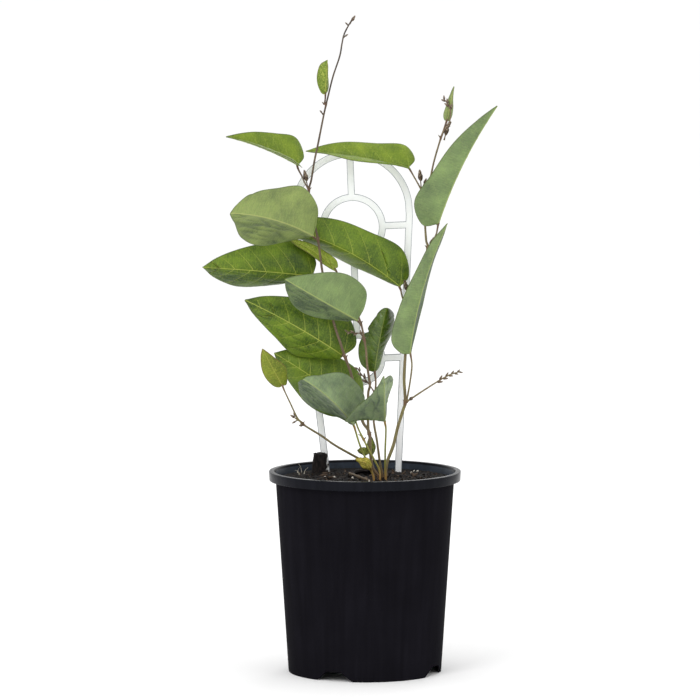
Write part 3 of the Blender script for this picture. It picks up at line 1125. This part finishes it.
def potting_mix(skin):
    """The mix's body, whose lumpy top fades to the wall."""
    bm = bmesh.new()
    rings = mix_top(bm, SOIL_RADIUS)
    bottom = FLOOR_HEIGHT + WALL + SOIL_LIFT
    low = wall_radius(bottom) - WALL - SOIL_CLEARANCE
    foot = [bm.verts.new(around(90 + 360 * j / SOIL_SECTORS, low, bottom)) for j in range(SOIL_SECTORS)]
    join_rings(bm, rings[-1], foot)
    bm.faces.new(foot)
    bmesh.ops.recalc_face_normals(bm, faces=bm.faces)
    piece("potting_mix", mesh_of(bm, skin), "potting_soil", "soil", smooth=25)


def strewn_grains(name, size, rough, density, smallest, largest, seed, reach, skin):
    """Grains strewn on the mix out to a radius, a number of them to a square metre."""
    shape = grain_shape(name + "_shape", size, rough, seed)
    bm = bmesh.new()
    mix_top(bm, reach)
    mesh = grow(strewn_tree(), mesh_of(bm), Grain=shape, Density=density, Smallest=smallest,
                Largest=largest, Seed=seed, Skin=skin)
    piece(name, mesh, "potting_soil", smooth=20)
    bpy.data.objects.remove(shape, do_unlink=True)


def white_grains(skin):
    """Three white grains that show over the rim, and a dozen more at random."""
    luck = random.Random(31)
    spots = []
    for x, y in WHITE_GRAINS + [(luck.uniform(-52, 52), luck.uniform(-52, 52)) for _ in range(12)]:
        size = luck.uniform(1.6, 2.6)
        lean = Vector((luck.uniform(-1, 1), luck.uniform(-1, 1), luck.uniform(-1, 1)))
        spots.append(((x, y, mix_height(x, y) + 0.7), lean, (size, size * 0.8, size * 0.7)))
    shape = grain_shape("white_grain_shape", (1, 1, 1), 0.8, 6, fineness=2)
    mesh = grow(placed_tree(), points_mesh(spots), Shape=shape, Skin=skin)
    piece("white_grains", mesh, "potting_soil", smooth=40)
    bpy.data.objects.remove(shape, do_unlink=True)


def rootlets(skin):
    """Pale dry rootlets that stand up out of the mix."""
    fibres = []
    for x, y, lean, height in ROOTLETS:
        foot = Vector((x, y, mix_height(x, y) - 1))
        bend, end = Vector((lean * 0.3, 1, height * 0.6)), Vector((lean, -1, height))
        fibres.append(([foot, foot + bend, foot + end], *ROOTLET_RADII, False))
    mesh = grow(stem_tree(), path_mesh(fibres, lambda place, number: 0.5, []), Sides=6, Bark=skin)
    piece("pale_rootlets", mesh, "potting_soil")


def dry_stick(skin):
    """The bent twig that lies in the mix."""
    path = path_mesh([(STICK, *STICK_RADII, False)], lambda place, number: 0.5, [Vector(STICK[1])])
    piece("stick_bark", grow(stem_tree(), path, Sides=14, Bark=skin), "dry_stick", "stick")


def bark_block(name, centre, size, turn, bump, skin):
    """A chunk of bark: rounded, with layers that split along its length."""
    bm = bmesh.new()
    bmesh.ops.create_cube(bm, size=1)
    bmesh.ops.subdivide_edges(bm, edges=bm.edges, cuts=BARK_CUTS, use_grid_fill=True)
    bm.normal_update()
    tone = bm.verts.layers.float.new("tone")
    normals = {vert: vert.normal.copy() for vert in bm.verts}
    longest = max(range(3), key=lambda axis: size[axis])
    for vert in bm.verts:
        flat = vert.co * (1 - 0.05 * (4 * vert.co.length_squared - 1))
        wander = noise.noise_vector(flat * 2.3 + Vector(centre))
        place = Vector(part * length for part, length in zip(flat, size)) + wander * bump
        layer = Vector(part / BARK_LAYER[axis == longest] for axis, part in enumerate(place))
        ridge = 0.5 - abs(noise.noise(layer + Vector(centre)))
        pits = noise.noise(place / 1.1)
        vert[tone] = 0.15 + 0.5 * ridge
        vert.co = place + normals[vert] * (0.9 * (ridge - 0.5) + 0.25 * pits) * bump
    for vert in bm.verts:
        vert.co /= 1000
    tilt, lean, spin = (Matrix.Rotation(math.radians(part), 4, axis) for part, axis in zip(turn, "XYZ"))
    bmesh.ops.transform(bm, matrix=Matrix.Translation(mm(*centre)) @ spin @ (tilt @ lean), verts=bm.verts)
    piece(name + "_split", mesh_of(bm, skin), "dark_bark", name, smooth=35)


# The trellis

def moulded_bar_tree():
    """A flat bar with rounded corners along a path in one plane."""
    tree, given = new_tree("moulded bar", ("Width", "Float"), ("Thickness", "Float"),
                           ("Corner", "Float"), ("Plastic", "Material"))
    path = add(tree, "MeshToCurve", {"Mesh": given["Geometry"]})
    upright = add(tree, "SetCurveNormal", {"Curve": path}, mode="Z_UP")
    section = add(tree, "CurvePrimitiveQuadrilateral", {
        "Width": given["Width"], "Height": given["Thickness"]})
    section = add(tree, "FilletCurve", {"Curve": section, "Count": 4, "Radius": given["Corner"]},
                  mode="POLY")
    swept = add(tree, "CurveToMesh", {"Curve": upright, "Profile Curve": section, "Fill Caps": True})
    return close_tree(tree, swept, given["Plastic"])


def leg_half_span(height):
    """Half the distance between the legs, which spread as they rise."""
    rise = TRELLIS_ARCH_RADIUS - TRELLIS_FOOT_HALF_SPAN
    return TRELLIS_FOOT_HALF_SPAN + rise * height / (TRELLIS_ARCH_HEIGHT - LEG_STOP)


def arc(height, radius, first, last, count):
    """Points of an arc in the trellis's plane, from one angle in degrees to another."""
    turns = [math.radians(first + (last - first) * i / count) for i in range(count + 1)]
    return [(radius * math.cos(t), height + radius * math.sin(t)) for t in turns]


def trellis(plastic):
    """The white moulded arch, its two rings and the bars between them, united and set leaning."""
    top, foot = TRELLIS_ARCH_HEIGHT, -TRELLIS_LEG_BURIED
    upper, lower = TRELLIS_RING_HEIGHT, TRELLIS_LOW_RING_HEIGHT
    upper_r, lower_r = TRELLIS_RING_RADIUS, TRELLIS_LOW_RING_RADIUS
    levels = [foot + (top - LEG_STOP - foot) * i / 12 for i in range(13)]
    rising = [(leg_half_span(level), level) for level in levels]
    over = arc(top, TRELLIS_ARCH_RADIUS, ARCH_START, 180 - ARCH_START, 56)
    runs = [rising + over + [(-x, level) for x, level in reversed(rising)],
            arc(upper, upper_r, 0, 360, 64), arc(lower, lower_r, 0, 360, 56),
            [(0, upper + upper_r), (0, top + TRELLIS_ARCH_RADIUS)],
            [(0, lower + lower_r), (0, upper - upper_r)]]
    for side in (-1, 1):
        for level, radius in ((upper, upper_r), (lower, lower_r)):
            runs.append([(side * radius, level), (side * leg_half_span(level), level)])
    bar = moulded_bar_tree()
    bars = []
    for run in runs:
        ring = run[0][0] > 0 and (Vector(run[0]) - Vector(run[-1])).length < 0.01
        places = [(x / 1000, z / 1000, 0) for x, z in (run[:-1] if ring else run)]
        edges = [(i, i + 1) for i in range(len(places) - 1)]
        if ring:
            edges.append((len(places) - 1, 0))
        mesh = bpy.data.meshes.new("run")
        mesh.from_pydata(places, edges, [])
        # each bar is a hair thinner than the last, so that no two faces lie in one plane
        thickness = (TRELLIS_BAR_THICKNESS - HAIR * len(bars)) / 1000
        bars.append(grow(bar, mesh, Width=TRELLIS_BAR / 1000, Thickness=thickness,
                         Corner=TRELLIS_EDGE / 1000, Plastic=plastic))
    mesh = cut_or_joined(bars[0], bars[1:], "UNION")
    lean = math.radians(TRELLIS_LEAN)
    place = mm(TRELLIS_FOOT_X, TRELLIS_DEPTH, SOIL_TOP + 2)
    mesh.transform(Matrix(((math.cos(lean), -math.sin(lean), 0, place.x), (0, 0, -1, place.y),
                           (math.sin(lean), math.cos(lean), 0, place.z), (0, 0, 0, 1))))
    piece("trellis_moulding", mesh, "white_plastic", "trellis", smooth=12)


# The floor, the light and the camera

def matt_paper():
    """Matt white paper of the studio floor, almost even."""
    mat, tree, place = new_surface("matt_paper")
    cloud = add(tree, "TexNoise", {"Vector": place, "Scale": 3, "Detail": 2})
    colour = add(tree, "Mix", {0: cloud, 6: linear("fafafa"), 7: linear("fdfdfd")}, 2, data_type="RGBA")
    rough = add(tree, "MapRange", {"Value": cloud, "To Min": 0.85, "To Max": 0.95})
    dress(tree, colour, rough, cloud, 0.1, {"Specular IOR Level": 0.1})
    return mat


def studio():
    """A pale floor, an even white surround, a large soft light from the upper left and two weaker ones."""
    bm = bmesh.new()
    bmesh.ops.create_grid(bm, x_segments=2, y_segments=2, size=FLOOR_HALF_SIZE)
    new_object("studio_floor", mesh_of(bm, matt_paper()))
    world = bpy.data.worlds.new("studio")
    world.use_nodes = True
    surround = world.node_tree.nodes["Background"]
    surround.inputs["Color"].default_value = linear("ffffff")
    surround.inputs["Strength"].default_value = SURROUND
    bpy.context.scene.world = world
    for name, place, size, power in LIGHTS:
        data = bpy.data.lights.new(name, "AREA")
        data.shape, data.size, data.energy = "DISK", size, power
        lamp = new_object(name, data)
        lamp.location = place
        lamp.rotation_euler = (Vector(LIGHT_AIM) - Vector(place)).to_track_quat("-Z", "Y").to_euler()
    data = bpy.data.cameras.new("camera")
    data.lens = FOCAL_LENGTH
    camera = new_object("camera", data)
    camera.location = CAMERA
    camera.rotation_euler = (math.radians(CAMERA_PITCH), 0, 0)
    bpy.context.scene.camera = camera
    bpy.context.scene.view_settings.view_transform = "Standard"


studio()
pot(moulded_black("black_polypropylene", "121115", "18171c", 0.5, 0.003),
    moulded_black("black_polypropylene_rim", "101116", "191a20", 0.2, 0.05),
    moulded_black("black_polypropylene_inside", "20262f", "303844", 0.35, 0.12))

potting_mix(crumbly("damp_peat", [(0.25, "0b0909"), (0.5, "1a1411"), (0.8, "32271f")], 260, 0.8))
fines = crumbly("pine_bark_fines",
                [(0.25, "0c0b0a"), (0.6, "1d1816"), (0.8, "3a2f29"), (0.95, "7c6a58")], 500, 0.3)
slivers = crumbly("pine_bark_slivers",
                  [(0.25, "110f0d"), (0.55, "2f2620"), (0.8, "564639"), (1.0, "86725f")], 500, 0.3)
strewn_grains("bark_slivers", (1.0, 0.5, 0.24), 1.1, 5200, 0.004, 0.0095, 4, 70.0, slivers)
strewn_grains("bark_crumbs", (1.0, 0.7, 0.45), 1.0, 95000, 0.0012, 0.0034, 9, 76.0, fines)
white_grains(crumbly("perlite", [(0.3, "cfcac0"), (0.7, "f2efe8")], 900, 0.2))
rootlets(crumbly("dry_rootlet", [(0.3, "a89c88"), (0.8, "d8d0c0")], 900, 0.1, 0.6))
bark = crumbly("blackened_bark", [(0.25, "090808"), (0.55, "161313"), (0.95, "3a322e")], 420, 0.4)
bark_block("bark_chunk", (-42, 47, 181), (12.3, 8, 28.6), (0, 4, 8), 1.5, bark)
bark_block("bark_flake", (-1, 46, 177.4), (17, 9, 2.2), (-24, -6, 10), 0.5, bark)
dry_stick(bark_skin("dry_twig_bark", "6b5c46", "7d6c52", "8a795f", "5a4c3c"))

trellis(moulded_white())
leaf_bases = leaves()
vine_bark = bark_skin("vine_bark", "827e48", "84705a", "302a28", "6c4e3c")
stalk_skin = bark_skin("green_stalk_skin", "8f9648", "98894a", "8a6f4c", "9a6a3c")
plant_shoots(shoot_plans(vine_bark, stalk_skin), bud_scales(), leaf_bases)
